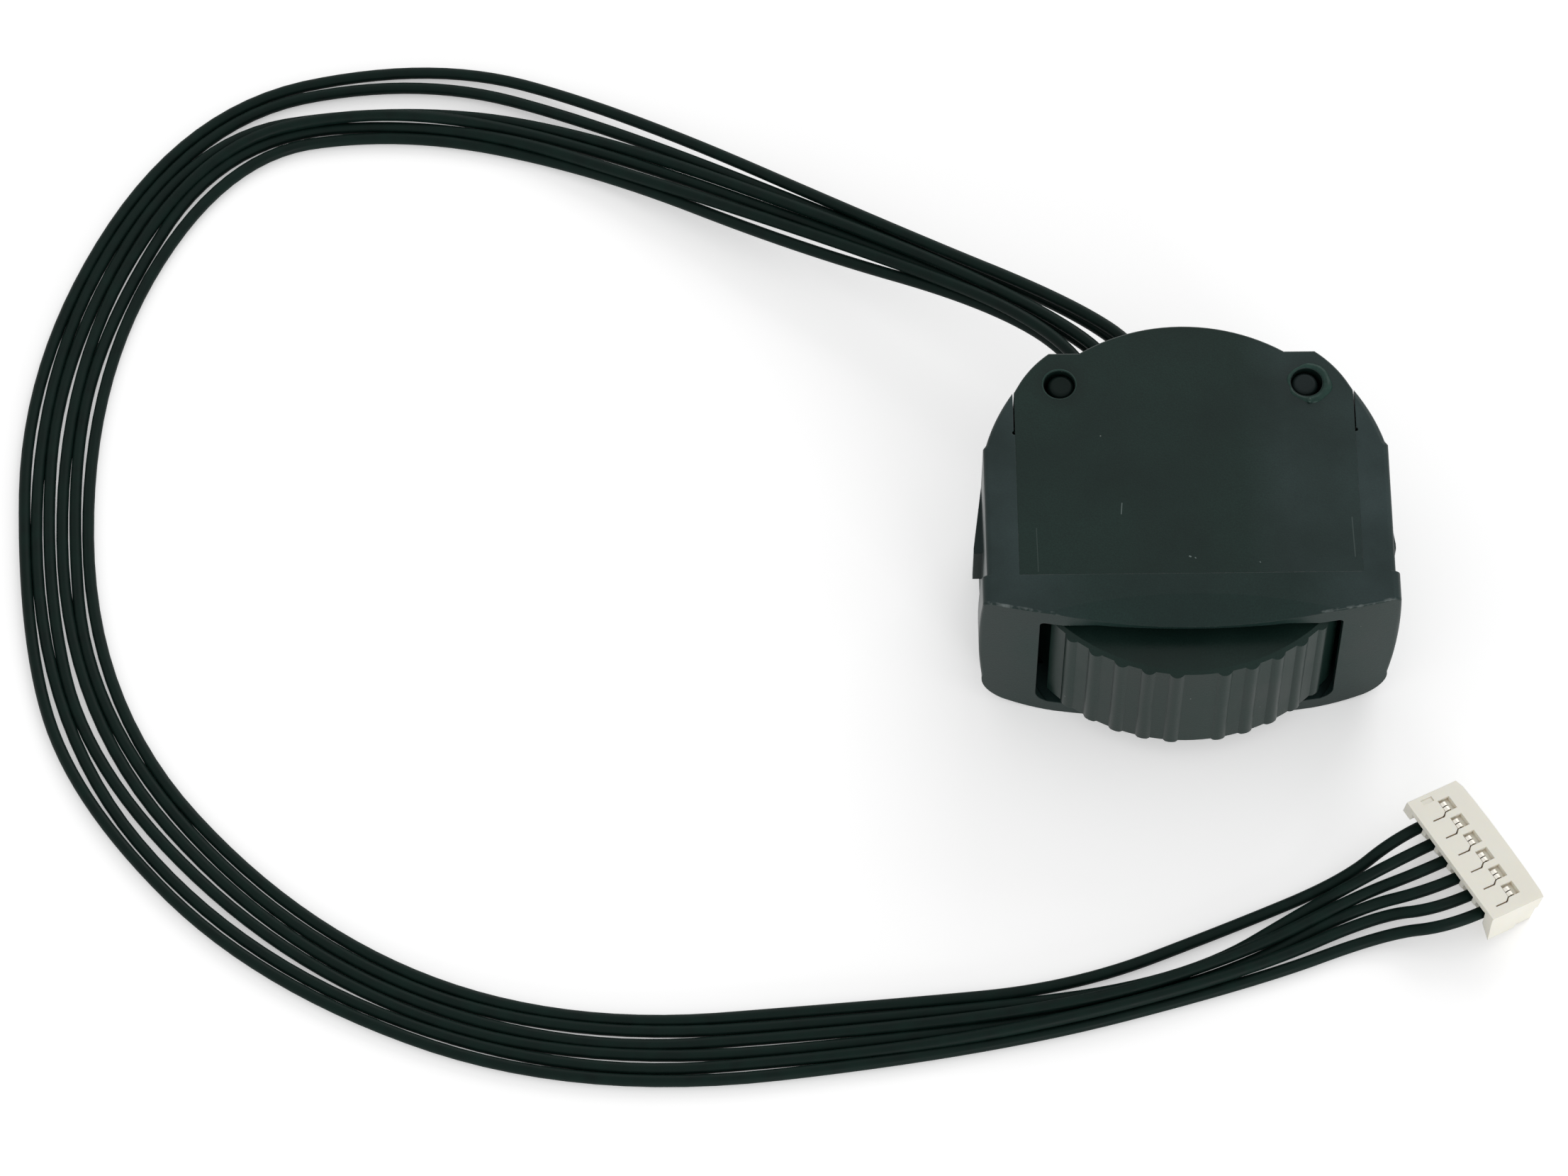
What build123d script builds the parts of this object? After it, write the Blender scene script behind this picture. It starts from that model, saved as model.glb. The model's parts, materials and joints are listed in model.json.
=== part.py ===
from build123d import *
import math
import os

os.makedirs("parts", exist_ok=True)

# A spring-return thumbwheel control for a panel, lying on its underside with its lead.
# Millimetres.  +Z is the wheel's axis, -Y is the side the thumb works, +Y the wire side.

# Driving dimensions of the body
HEIGHT = 19.0
PLATE = 1.5  # thickness of the top and bottom plates
SPLIT_Z = 9.5  # parting plane of the two case halves
BODY_R = 19.0  # circle that the rear corners lie on, about the wheel's axis
PLATE_HALF = 15.45  # half width of the case plates, up to the snap arms
SIDE_CORNER = (15.15, 11.05)
EAR_Y = 14.6  # flat rear edge of the two stake ears
BACK_R = 17.3  # rounded rear edge of the plates
BACK_CENTRE_Y = 0.05
EDGE_BREAK = 0.15  # chamfer on the plates' rear edges and the stake holes
WALL_R = 17.3  # outside of the rear wall
WALL_CENTRE_Y = -1.9
WALL = 1.3
CORNER_WALL_INSET = 0.15  # side corners of the wall, in from the plates' edge
STAKE_X = 11.28
STAKE_Y = 11.27
STAKE_HOLE_R = 1.45
STAKE_BOSS_R = 2.2
STAKE_PIN_R = 1.22
STAKE_PIN_LEAN = (0.16, 0.05)  # each pin sits this far inwards and back in its hole
STAKE_PIN_TOP_Z = 18.7
STAKE_PIN_ROUND = 0.45

# Front bezel with its snap arms
FLANGE_BACK_Y = -8.3
FLANGE_HALF = 19.1
FLANGE_END_Y = -10.95  # front face where it meets the sides
FLANGE_APEX_Y = -13.25
FLANGE_LIP_ROUND = 0.25
SLOT_HALF = 13.65
SLOT_LOW_Z = 1.7
SLOT_HIGH_Z = 16.9
SLOT_LOW_ROUND = 1.5
SLOT_HIGH_ROUND = 0.5
POCKET_R = 17.55
POCKET_HIGH_Z = 17.6  # roof over the wheel, under the lip
POCKET_HIGH_R = 15.4
POCKET_SIDE_Z = 16.6
SCOOP_CENTRE_Y = -61.4
SCOOP_R = 51.0  # where the scoop's cone meets the top face
SCOOP_SLOPE = 0.37
ARM_OUT = 18.4
ARM_WALL = 0.9
ARM_ROUND = 0.5
ARM_STRAIGHT_Y = 4.8
ARM_TAIL_R = 18.85
ARM_TAIL_START = 16.0  # degrees from the X axis
ARM_TAIL_END = 34.4
SLIT = 0.12
SLIT_LOW_Y = 6.3
SLIT_END_R = 0.2
BARB_OUT = 19.25
BARB_CATCH_Y = -2.3
BARB_END_Y = 4.7
BARB_LOW_Z = 7.0
BARB_HIGH_Z = 12.0

# Thumbwheel and hub
WHEEL_R = 16.95
RIB_HEIGHT = 0.3
RIB_R = 0.9
RIB_PITCH = 8.7  # degrees
RIBS_EACH_SIDE = 5
LAND_TURN = 2.5  # the blank land sits this far round from the front
LAND_HALF = 7.4  # degrees to the first rib
PAD_START = -47.8  # degrees from the front; the raised pad that the thumb turns
PAD_END = 52.4
PAD_END_WALL = 5.0  # degrees
SKIRT_R = 15.5  # lower skirt that closes the slot when the pad has turned away
SKIRT_HALF_ANGLE = 95.0
WHEEL_LOW_Z = 2.75
WHEEL_HIGH_Z = 16.0
WHEEL_WALL = 1.6
WHEEL_WEB = 1.3
RIM_BEVEL_LOW = 0.12
RIM_BEVEL_HIGH = (0.65, 0.45)  # inwards and down
RING_R = 7.0
RING_WALL = 1.4
HUB_R = 3.4
HUB_LOW_Z = 3.05
HUB_HIGH_Z = 15.95
BUSH_R = 2.2
BUSH_LENGTH = 4.9
AXLE_R = 1.5
AXLE_CLEARANCE = 0.04
AXLE_LOW_Z = 0.8
SOCKET_BOSS_R = 3.2
WASHER = 0.4
WASHER_LOW_Z = 2.6
WASHER_HIGH_Z = 16.0
MAGNET_ARM_R = 9.0
MAGNET_ARM_HALF_ANGLE = 32.0
MAGNET_Z = 9.0
MAGNET_R = 2.0
MAGNET_LENGTH = 1.8
MAGNET_ANGLE = 17.0

# Centring spring
SPRING_WIRE_R = 0.25
SPRING_COIL_R = 4.5
SPRING_PITCH = 0.7
SPRING_LOW_Z = 12.3
SPRING_LEG_ANGLE = 11.0
SPRING_LEG_R = 9.1
SPRING_TURNS = 3.0 - 2.0 * SPRING_LEG_ANGLE / 360.0
SPRING_POST_Y = 8.35
SPRING_POST_R = 1.2
SPRING_POST_LOW_Z = 11.9

# Circuit board, sensors and the sealed wire exit
BOARD_FRONT_Y = 10.5
BOARD = 1.0
BOARD_HALF = 8.6
BOARD_LOW_Z = 1.6
BOARD_HIGH_Z = 17.4
SENSOR_X = 3.0
SENSOR_Y = 0.8
SENSOR_Z = 1.9
SENSOR_HEIGHTS = {"hall_sensor_upper": 10.4, "hall_sensor_lower": 7.5}
WINDOW_X = (-8.9, 0.9)
WINDOW_Z = (7.6, 11.6)

# Lead: six thin wires, laid in one loose loop on the surface
WIRE_D = 1.0
WIRES = {
    "wire_1": [(-6.1, 13.0, 9.0), (-8.2, 19.3, 9.0), (-16.9, 26.4, 8.1), (-34.7, 34.6, 4.6),
               (-54.1, 46.1, 0.6), (-72.6, 50.6, 0.6), (-89.7, 47.9, 0.6), (-102.0, 23.2, 0.6),
               (-100.4, -10.9, 0.6), (-81.1, -34.0, 0.6), (-57.4, -44.4, 0.6), (-27.4, -42.2, 0.6),
               (-11.0, -40.7, 0.6), (3.7, -34.8, 0.6), (13.8, -30.4, 0.7), (18.47, -27.65, 3.85),
               (21.44, -25.86, 3.0)],
    "wire_2": [(-6.1, 13.0, 10.1), (-7.8, 18.1, 10.1), (-13.9, 24.2, 10.0), (-24.9, 31.1, 7.3),
               (-47.3, 42.9, 2.7), (-67.4, 51.5, 0.6), (-89.4, 50.3, 0.6), (-100.5, 29.7, 0.6),
               (-103.2, 12.6, 0.6), (-100.6, -12.2, 0.6), (-82.1, -34.8, 0.6), (-57.7, -45.5, 0.6),
               (-23.8, -43.2, 0.6), (-1.1, -40.4, 0.6), (12.3, -32.0, 0.6), (19.1, -29.61, 3.96),
               (22.48, -27.57, 3.0)],
    "wire_3": [(-3.6, 13.9, 9.0), (-5.1, 18.6, 9.0), (-12.6, 24.9, 8.7), (-27.4, 33.6, 6.4),
               (-56.5, 49.4, 0.6), (-75.0, 52.7, 1.8), (-92.2, 48.8, 0.9), (-104.5, 23.3, 0.6),
               (-102.7, -11.5, 0.6), (-83.1, -35.6, 0.6), (-58.0, -46.6, 0.6), (-31.3, -44.9, 0.6),
               (-9.8, -42.8, 1.8), (4.7, -37.8, 1.5), (15.1, -32.0, 1.0), (20.57, -31.06, 3.84),
               (23.51, -29.29, 3.0)],
    "wire_4": [(-3.6, 13.9, 10.1), (-5.1, 18.5, 10.1), (-12.3, 24.7, 9.9), (-27.5, 34.5, 7.3),
               (-56.4, 50.7, 0.7), (-74.0, 53.1, 0.6), (-92.7, 50.0, 0.6), (-104.7, 25.9, 0.6),
               (-105.2, 2.1, 0.6), (-100.4, -17.9, 0.6), (-81.0, -38.3, 0.6), (-56.1, -48.1, 0.6),
               (-19.6, -45.0, 0.6), (1.8, -40.3, 0.6), (14.7, -33.1, 0.6), (21.34, -32.93, 3.91),
               (24.54, -31.0, 3.0)],
    "wire_5": [(-0.6, 13.9, 9.0), (-2.2, 18.8, 9.0), (-9.8, 25.5, 8.9), (-26.2, 34.4, 6.6),
               (-52.8, 50.5, 1.1), (-71.0, 56.7, 0.6), (-92.4, 52.2, 0.6), (-107.0, 24.8, 0.6),
               (-105.0, -12.9, 0.6), (-86.6, -36.8, 0.6), (-57.7, -49.1, 0.6), (-29.3, -47.1, 0.7),
               (-11.2, -44.2, 1.7), (5.5, -39.3, 1.4), (16.7, -33.8, 0.6), (21.99, -34.87, 4.02),
               (25.58, -32.71, 3.0)],
    "wire_6": [(-0.6, 13.9, 10.1), (-2.4, 19.5, 10.1), (-9.4, 25.2, 10.0), (-24.5, 33.8, 8.0),
               (-51.9, 52.4, 1.1), (-69.9, 58.5, 0.6), (-93.2, 53.2, 0.6), (-107.7, 25.5, 0.6),
               (-106.9, -3.6, 0.6), (-101.6, -20.7, 0.6), (-84.4, -39.4, 0.6), (-55.7, -50.9, 0.6),
               (-19.0, -46.8, 0.6), (5.3, -40.3, 0.6), (17.4, -35.6, 0.6), (22.99, -36.61, 4.03),
               (26.61, -34.42, 3.0)],
}

# Crimp connector at the end of the lead; its mating edge rests on the surface
POSITIONS = 6
PITCH = 2.0
CONN_LENGTH = 13.8
CONN_DEPTH = 5.47
CONN_HEIGHT = 4.0
CONN_BACK = -0.6  # edge of the top face over the wires
WINDOW_V = (2.1, 3.5)  # the windows, from the wire side
LATCH_SLIT = 0.13
CONN_XY = (22.79, -30.89)  # middle of the wire side
CONN_TURN = -58.9  # degrees, row direction from the X axis
CONN_TILT = 13.7  # degrees, mating side down
CONTACT_Z = 2.0


def polar(radius, degrees):
    angle = math.radians(degrees)
    return (radius * math.cos(angle), radius * math.sin(angle))


def both_sides(shape):
    return shape + mirror(shape, about=Plane.YZ)


def prism(sketch, low, high):
    return extrude(Pos(0, 0, low) * sketch, high - low)


def block(x, y, z):
    """A box from three (low, high) pairs."""
    return Pos((x[0] + x[1]) / 2, (y[0] + y[1]) / 2, (z[0] + z[1]) / 2) * Box(
        x[1] - x[0], y[1] - y[0], z[1] - z[0]
    )


def post(x, y, radius, low, high):
    return Pos(x, y, low) * Cylinder(radius, high - low, align=(Align.CENTER, Align.CENTER, Align.MIN))


def flip_z(shape):
    """The shape turned over about the body's mid height."""
    return mirror(shape, about=Plane.XY.offset(HEIGHT / 2))


def pie(start, end, radius=40.0):
    """A sector of a circle about the wheel's axis, as a polygon."""
    steps = 8
    angles = [start + (end - start) * i / steps for i in range(steps + 1)]
    return make_face(Polyline((0, 0), *[polar(radius, a) for a in angles], close=True))


# ---------------------------------------------------------------- case halves
def case_outline():
    ear_corner = (math.sqrt(BODY_R**2 - EAR_Y**2), EAR_Y)
    ear_end = (math.sqrt(BACK_R**2 - (EAR_Y - BACK_CENTRE_Y) ** 2), EAR_Y)
    ear_middle = polar(BODY_R, 43.7)
    with BuildSketch() as sketch:
        with BuildLine():
            Polyline(
                (0, FLANGE_BACK_Y),
                (PLATE_HALF, FLANGE_BACK_Y),
                (PLATE_HALF, SIDE_CORNER[1] - 0.55),
                SIDE_CORNER,
            )
            ThreePointArc(SIDE_CORNER, ear_middle, ear_corner)
            Line(ear_corner, ear_end)
            ThreePointArc(
                ear_end,
                (BACK_R * math.sin(math.radians(15)), BACK_CENTRE_Y + BACK_R * math.cos(math.radians(15))),
                (0, BACK_CENTRE_Y + BACK_R),
            )
            mirror(about=Plane.YZ)
        make_face()
    return sketch.sketch


def rear_wall():
    outer = Pos(0, WALL_CENTRE_Y) * Circle(WALL_R)
    inner = Pos(0, WALL_CENTRE_Y) * Circle(WALL_R - WALL)
    between_stakes = Pos(0, 12) * Rectangle(2 * STAKE_X, 16)
    corner = (Circle(BODY_R - CORNER_WALL_INSET) - Circle(POCKET_R)) & pie(25, 46) & case_outline()
    return ((outer - inner) & between_stakes) + both_sides(corner)


def axle_socket():
    """Bottom plate's boss for the axle, as a solid boss and the bore to cut in it."""
    boss = post(0, 0, SOCKET_BOSS_R, PLATE, WASHER_LOW_Z)
    bore = post(0, 0, AXLE_R, AXLE_LOW_Z, WASHER_LOW_Z)
    return boss, bore


def board_rails():
    """Two pairs of ribs on the bottom plate that hold the circuit board's edge."""
    ribs = [
        block((x - 1.2, x + 1.2), y, (PLATE, PLATE + 1.5))
        for x in (-6.5, 6.5)
        for y in ((BOARD_FRONT_Y - 0.9, BOARD_FRONT_Y), (BOARD_FRONT_Y + BOARD, BOARD_FRONT_Y + BOARD + 0.9))
    ]
    return sum(ribs[1:], ribs[0])


def half_case(low_wall, high_wall):
    """Plate, rear wall, axle socket and board rails, in the lower half's position."""
    plate = prism(case_outline(), 0, PLATE)
    rear_edges = [edge for edge in plate.edges().group_by(Axis.Z)[0] if edge.center().Y > SIDE_CORNER[1]]
    plate = chamfer(rear_edges, EDGE_BREAK)
    boss, bore = axle_socket()
    return plate + prism(rear_wall(), low_wall, high_wall) + boss + board_rails() - bore


def wire_window():
    return block(WINDOW_X, (BOARD_FRONT_Y + BOARD, 18.0), WINDOW_Z)


def stake_pin(side):
    """Pin that heat has rounded and pushed over in its hole."""
    x = side * (STAKE_X - STAKE_PIN_LEAN[0])
    pin = post(x, STAKE_Y + STAKE_PIN_LEAN[1], STAKE_PIN_R, SPLIT_Z, STAKE_PIN_TOP_Z)
    return fillet(pin.edges().group_by(Axis.Z)[-1], STAKE_PIN_ROUND)


def stake_hole(x):
    hole = post(x, STAKE_Y, STAKE_HOLE_R, SPLIT_Z, HEIGHT)
    mouth = Cone(STAKE_HOLE_R - EDGE_BREAK, STAKE_HOLE_R + EDGE_BREAK, 2 * EDGE_BREAK)
    return hole + Pos(x, STAKE_Y, HEIGHT) * mouth


def lower_case():
    case = half_case(PLATE, SPLIT_Z) - wire_window()
    for side in (-1, 1):
        case += post(side * STAKE_X, STAKE_Y, STAKE_BOSS_R, PLATE, SPLIT_Z)
        case += stake_pin(side)
    return case


def upper_case():
    case = flip_z(half_case(PLATE, HEIGHT - SPLIT_Z)) - wire_window()
    spring_post = post(0, SPRING_POST_Y, SPRING_POST_R, SPRING_POST_LOW_Z, HEIGHT - PLATE)
    case += spring_post
    for x in (-STAKE_X, STAKE_X):
        case += post(x, STAKE_Y, STAKE_BOSS_R, SPLIT_Z, HEIGHT - PLATE)
        case -= stake_hole(x)
    return case


# ---------------------------------------------------------------- front bezel
def flange_outline():
    with BuildSketch() as sketch:
        with BuildLine():
            Line((-FLANGE_HALF, FLANGE_END_Y), (-FLANGE_HALF, FLANGE_BACK_Y))
            Line((-FLANGE_HALF, FLANGE_BACK_Y), (FLANGE_HALF, FLANGE_BACK_Y))
            Line((FLANGE_HALF, FLANGE_BACK_Y), (FLANGE_HALF, FLANGE_END_Y))
            ThreePointArc((FLANGE_HALF, FLANGE_END_Y), (0, FLANGE_APEX_Y), (-FLANGE_HALF, FLANGE_END_Y))
        make_face()
    return fillet(sketch.sketch.vertices().group_by(Axis.Y)[0], 0.6)


def flange_front_view():
    """Right half of the flange from the front: full in the middle, drawn in towards its foot."""
    side_low = (18.55, 4.4)
    side_middle = (FLANGE_HALF - 0.1, 11.0)
    side_high = (18.75, HEIGHT)
    with BuildSketch(Plane.XZ) as sketch:
        with BuildLine():
            Line((0, HEIGHT), (0, 0))
            Line((0, 0), (9.5, 0))
            ThreePointArc((9.5, 0), (14.0, 0.28), (16.6, 1.0))
            ThreePointArc((16.6, 1.0), (18.0, 2.2), side_low)
            ThreePointArc(side_low, side_middle, side_high)
            Line(side_high, (0, HEIGHT))
        make_face()
    return fillet(sketch.sketch.vertices().sort_by(Axis.X)[-2:].sort_by(Axis.Z)[-1], 0.8)


def flange():
    body = prism(flange_outline(), 0, HEIGHT)
    body &= both_sides(extrude(flange_front_view(), 20, both=True))
    front_top = [
        edge
        for edge in body.edges().filter_by(lambda e: e.geom_type == GeomType.CIRCLE)
        if abs(edge.center().Z - HEIGHT) < 0.01 and edge.center().Y < FLANGE_END_Y
    ]
    return fillet(front_top, FLANGE_LIP_ROUND)


def finger_slot():
    opening = Rectangle(2 * SLOT_HALF, SLOT_HIGH_Z - SLOT_LOW_Z)
    opening = fillet(opening.vertices().group_by(Axis.Y)[0], SLOT_LOW_ROUND)
    opening = fillet(opening.vertices().group_by(Axis.Y)[-1], SLOT_HIGH_ROUND)
    return extrude(Plane.XZ * Pos(0, (SLOT_LOW_Z + SLOT_HIGH_Z) / 2) * opening, 30)


def wheel_pocket():
    """Round pocket that the wheel turns in; its roof steps up under the lip."""
    profile = Plane.XZ * make_face(
        Polyline(
            (0, SLOT_LOW_Z),
            (POCKET_R, SLOT_LOW_Z),
            (POCKET_R, POCKET_SIDE_Z),
            (POCKET_HIGH_R, POCKET_HIGH_Z),
            (0, POCKET_HIGH_Z),
            close=True,
        )
    )
    return revolve(profile, Axis.Z)


def finger_scoop():
    """Shallow cone that dishes the lip above the wheel."""
    low_z = 10.0
    high_z = HEIGHT + 1.0
    low_r = SCOOP_R - (HEIGHT - low_z) / SCOOP_SLOPE
    high_r = SCOOP_R + (high_z - HEIGHT) / SCOOP_SLOPE
    cone = Cone(low_r, high_r, high_z - low_z, align=(Align.CENTER, Align.CENTER, Align.MIN))
    return Pos(0, SCOOP_CENTRE_Y, low_z) * cone


def arm_outline():
    """Plan of the right snap arm: straight beside the case, then round its rear corner."""
    tail_start = polar(ARM_TAIL_R, ARM_TAIL_START)
    tail_middle = polar(ARM_TAIL_R, (ARM_TAIL_START + ARM_TAIL_END) / 2)
    tail_end = polar(ARM_TAIL_R, ARM_TAIL_END)
    with BuildSketch() as sketch:
        with BuildLine():
            Polyline(
                tail_end,
                (PLATE_HALF, tail_end[1] - 0.3),
                (PLATE_HALF, FLANGE_BACK_Y),
                (ARM_OUT, FLANGE_BACK_Y),
                (ARM_OUT, ARM_STRAIGHT_Y),
                tail_start,
            )
            ThreePointArc(tail_start, tail_middle, tail_end)
        make_face()
    return sketch.sketch


def arm_hollow():
    """Plan of the space inside the arm's side wall; the tail keeps a wall beside its slit."""
    low_x = PLATE_HALF - 1
    high_x = ARM_OUT - ARM_WALL
    tail_x = PLATE_HALF + SLIT + ARM_WALL
    straight = Pos((low_x + high_x) / 2, (FLANGE_BACK_Y + ARM_STRAIGHT_Y) / 2) * Rectangle(
        high_x - low_x, ARM_STRAIGHT_Y - FLANGE_BACK_Y
    )
    tail = Pos((tail_x + high_x) / 2, ARM_STRAIGHT_Y) * Rectangle(high_x - tail_x, 14)
    return straight + (tail & Circle(ARM_TAIL_R - ARM_WALL))


def barb():
    with BuildSketch() as sketch:
        with BuildLine():
            Polyline(
                (ARM_OUT - 0.4, BARB_CATCH_Y),
                (BARB_OUT, BARB_CATCH_Y),
                (BARB_OUT, BARB_CATCH_Y + 0.5),
                (ARM_OUT, BARB_END_Y),
                (ARM_OUT - 0.4, BARB_END_Y),
                close=True,
            )
        make_face()
    return prism(sketch.sketch, BARB_LOW_Z, BARB_HIGH_Z)


def snap_arm():
    """Channel-section arm with a rounded top and bottom edge, a barb and a relief slit."""
    body = prism(arm_outline(), 0, HEIGHT)
    outer = [
        edge
        for edge in body.edges().group_by(Axis.Z)[0] + body.edges().group_by(Axis.Z)[-1]
        if edge.center().X > ARM_OUT - 0.3 or edge.geom_type == GeomType.CIRCLE
    ]
    body = fillet(outer, ARM_ROUND)
    slit = block((PLATE_HALF, PLATE_HALF + SLIT), (SLIT_LOW_Y, 12), (0, HEIGHT))
    relief = post(PLATE_HALF + SLIT / 2, SLIT_LOW_Y, SLIT_END_R, 0, HEIGHT)
    return body - prism(arm_hollow(), PLATE, HEIGHT - PLATE) - slit - relief + barb()


def front_bezel():
    body = flange() + both_sides(snap_arm())
    return body - finger_slot() - wheel_pocket() - finger_scoop()


# ---------------------------------------------------------------- thumbwheel
def pad_rim():
    """Ribbed outer wall: a blank land in front with ribs on both sides of it."""
    rim = Circle(WHEEL_R)
    for side in (-1, 1):
        for i in range(RIBS_EACH_SIDE):
            angle = -90 + LAND_TURN + side * (LAND_HALF + i * RIB_PITCH)
            x, y = polar(WHEEL_R + RIB_HEIGHT - RIB_R, angle)
            rim += Pos(x, y) * Circle(RIB_R)
    return (rim - Circle(WHEEL_R - WHEEL_WALL)) & pie(PAD_START - 90, PAD_END - 90)


def skirt_rim():
    """Plain wall at a smaller radius on both sides of the pad, with the pad's end walls."""
    inner_r = SKIRT_R - WHEEL_WALL
    sides = [
        (-SKIRT_HALF_ANGLE, PAD_START + PAD_END_WALL, PAD_START),
        (PAD_END - PAD_END_WALL, SKIRT_HALF_ANGLE, PAD_END - PAD_END_WALL),
    ]
    rim = Sketch()
    for start, end, wall_start in sides:
        rim += (Circle(SKIRT_R) - Circle(inner_r)) & pie(start - 90, end - 90)
        wall = pie(wall_start - 90, wall_start + PAD_END_WALL - 90)
        rim += (Circle(WHEEL_R) - Circle(inner_r)) & wall
    return rim


def rim_bevel():
    """Solid of revolution that breaks the wheel's top and bottom rims."""
    out = WHEEL_R + RIB_HEIGHT
    inwards, down = RIM_BEVEL_HIGH
    profile = Plane.XZ * make_face(
        Polyline(
            (0, WHEEL_LOW_Z),
            (out - RIM_BEVEL_LOW, WHEEL_LOW_Z),
            (out, WHEEL_LOW_Z + RIM_BEVEL_LOW),
            (out, WHEEL_HIGH_Z - down),
            (out - inwards, WHEEL_HIGH_Z),
            (0, WHEEL_HIGH_Z),
            close=True,
        )
    )
    return revolve(profile, Axis.Z)


def thumbwheel():
    whole = pie(-90 - SKIRT_HALF_ANGLE, -90 + SKIRT_HALF_ANGLE)
    web = (Circle(SKIRT_R) - Circle(RING_R)) & whole
    wheel = prism(pad_rim() + skirt_rim(), WHEEL_LOW_Z, WHEEL_HIGH_Z)
    wheel += prism(web, WHEEL_LOW_Z, WHEEL_LOW_Z + WHEEL_WEB)
    wheel += prism(web, WHEEL_HIGH_Z - WHEEL_WEB, WHEEL_HIGH_Z)
    return wheel & rim_bevel()


# ---------------------------------------------------------------- hub, bearings and magnets
def magnet_place(side):
    """Frame on the magnet's inner face, pointing outwards."""
    x, y = polar(1.0, 90 - side * MAGNET_ANGLE)
    start = MAGNET_ARM_R - MAGNET_LENGTH
    return Plane(origin=(x * start, y * start, MAGNET_Z), z_dir=(x, y, 0))


def wheel_hub():
    ring = prism(Circle(RING_R) - Circle(RING_R - RING_WALL), WHEEL_LOW_Z, WHEEL_HIGH_Z)
    web = prism(Circle(RING_R - RING_WALL) - Circle(HUB_R), MAGNET_Z - 0.8, MAGNET_Z + 0.8)
    tube = prism(Circle(HUB_R), HUB_LOW_Z, HUB_HIGH_Z)
    arm_plan = (Circle(MAGNET_ARM_R) - Circle(RING_R - 0.5)) & pie(
        90 - MAGNET_ARM_HALF_ANGLE, 90 + MAGNET_ARM_HALF_ANGLE
    )
    arm = prism(arm_plan, MAGNET_Z - 2.4, MAGNET_Z + 2.4)
    notch = pie(90 - 50, 90 + 50) - pie(90 - 8, 90 + 8)
    hub = ring + web + tube + arm
    hub -= prism(notch & Circle(RING_R), MAGNET_Z + 2.4, WHEEL_HIGH_Z) & prism(
        Circle(RING_R) - Circle(RING_R - RING_WALL), 0, HEIGHT
    )
    hub -= prism(Circle(BUSH_R), HUB_LOW_Z, HUB_HIGH_Z)
    for side in (-1, 1):
        hub -= extrude(magnet_place(side) * Circle(MAGNET_R), MAGNET_LENGTH + 2)
    return hub


def bush(low):
    return prism(Circle(BUSH_R) - Circle(AXLE_R + AXLE_CLEARANCE), low, low + BUSH_LENGTH)


def thrust_washer(low):
    return prism(Circle(SOCKET_BOSS_R) - Circle(AXLE_R + AXLE_CLEARANCE), low, low + WASHER)


def magnet(side):
    return extrude(magnet_place(side) * Circle(MAGNET_R), MAGNET_LENGTH)


def centring_spring():
    """Torsion spring with two radial legs, one each side of the fixed post."""
    start = 90 + SPRING_LEG_ANGLE
    coil_height = SPRING_PITCH * SPRING_TURNS
    helix = Pos(0, 0, SPRING_LOW_Z) * Rot(0, 0, start) * Helix(SPRING_PITCH, coil_height, SPRING_COIL_R)
    section = Plane(origin=helix @ 0, z_dir=helix % 0) * Circle(SPRING_WIRE_R)
    spring = sweep(section, path=helix)
    for angle, z in ((start, SPRING_LOW_Z), (90 - SPRING_LEG_ANGLE, SPRING_LOW_Z + coil_height)):
        x, y = polar(1.0, angle)
        leg = Plane(origin=(x * SPRING_COIL_R, y * SPRING_COIL_R, z), z_dir=(x, y, 0)) * Circle(SPRING_WIRE_R)
        spring += extrude(leg, SPRING_LEG_R - SPRING_COIL_R)
        spring += Pos(x * SPRING_COIL_R, y * SPRING_COIL_R, z) * Sphere(SPRING_WIRE_R)
    return spring


# ---------------------------------------------------------------- electronics
def circuit_board():
    board = block(
        (-BOARD_HALF, BOARD_HALF), (BOARD_FRONT_Y, BOARD_FRONT_Y + BOARD), (BOARD_LOW_Z, BOARD_HIGH_Z)
    )
    return chamfer(board.edges().filter_by(Axis.Y), 0.8)


def hall_sensor(z):
    """Flat three-lead sensor on the board's front face."""
    y = (BOARD_FRONT_Y - SENSOR_Y, BOARD_FRONT_Y)
    body = block((-SENSOR_X / 2, SENSOR_X / 2), y, (z - SENSOR_Z / 2, z + SENSOR_Z / 2))
    body = chamfer(body.faces().sort_by(Axis.Y)[0].edges(), 0.15)
    lead_y = (BOARD_FRONT_Y - 0.15, BOARD_FRONT_Y)
    for x, side in ((-0.95, -1), (0.95, -1), (0.0, 1)):
        root = z + side * SENSOR_Z / 2
        body += block((x - 0.2, x + 0.2), lead_y, sorted((root, root + side * 0.4)))
    return body


def potting_seal():
    within_wall = post(0, WALL_CENTRE_Y, WALL_R, 0, HEIGHT)
    return block(WINDOW_X, (BOARD_FRONT_Y + BOARD, 18.0), WINDOW_Z) & within_wall


# ---------------------------------------------------------------- lead
def wire(name):
    """Straight runs joined by the largest tangent arcs that they allow."""
    points = [Vector(*p) for p in WIRES[name]]
    runs = [b - a for a, b in zip(points, points[1:])]
    radii = []
    for before, after in zip(runs, runs[1:]):
        half_turn = math.radians(before.get_angle(after)) / 2
        radii.append(0.45 * min(before.length, after.length) / math.tan(half_turn))
    path = FilletPolyline(*points, radius=radii)
    tube = sweep(Plane(origin=points[0], z_dir=runs[0]) * Circle(WIRE_D / 2), path=path)
    drift = tube.volume / (math.pi * WIRE_D**2 / 4 * path.length) - 1
    print(name, "length", round(path.length, 1), "radii", [round(r, 1) for r in radii], "drift", round(drift, 5))
    return tube


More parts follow.
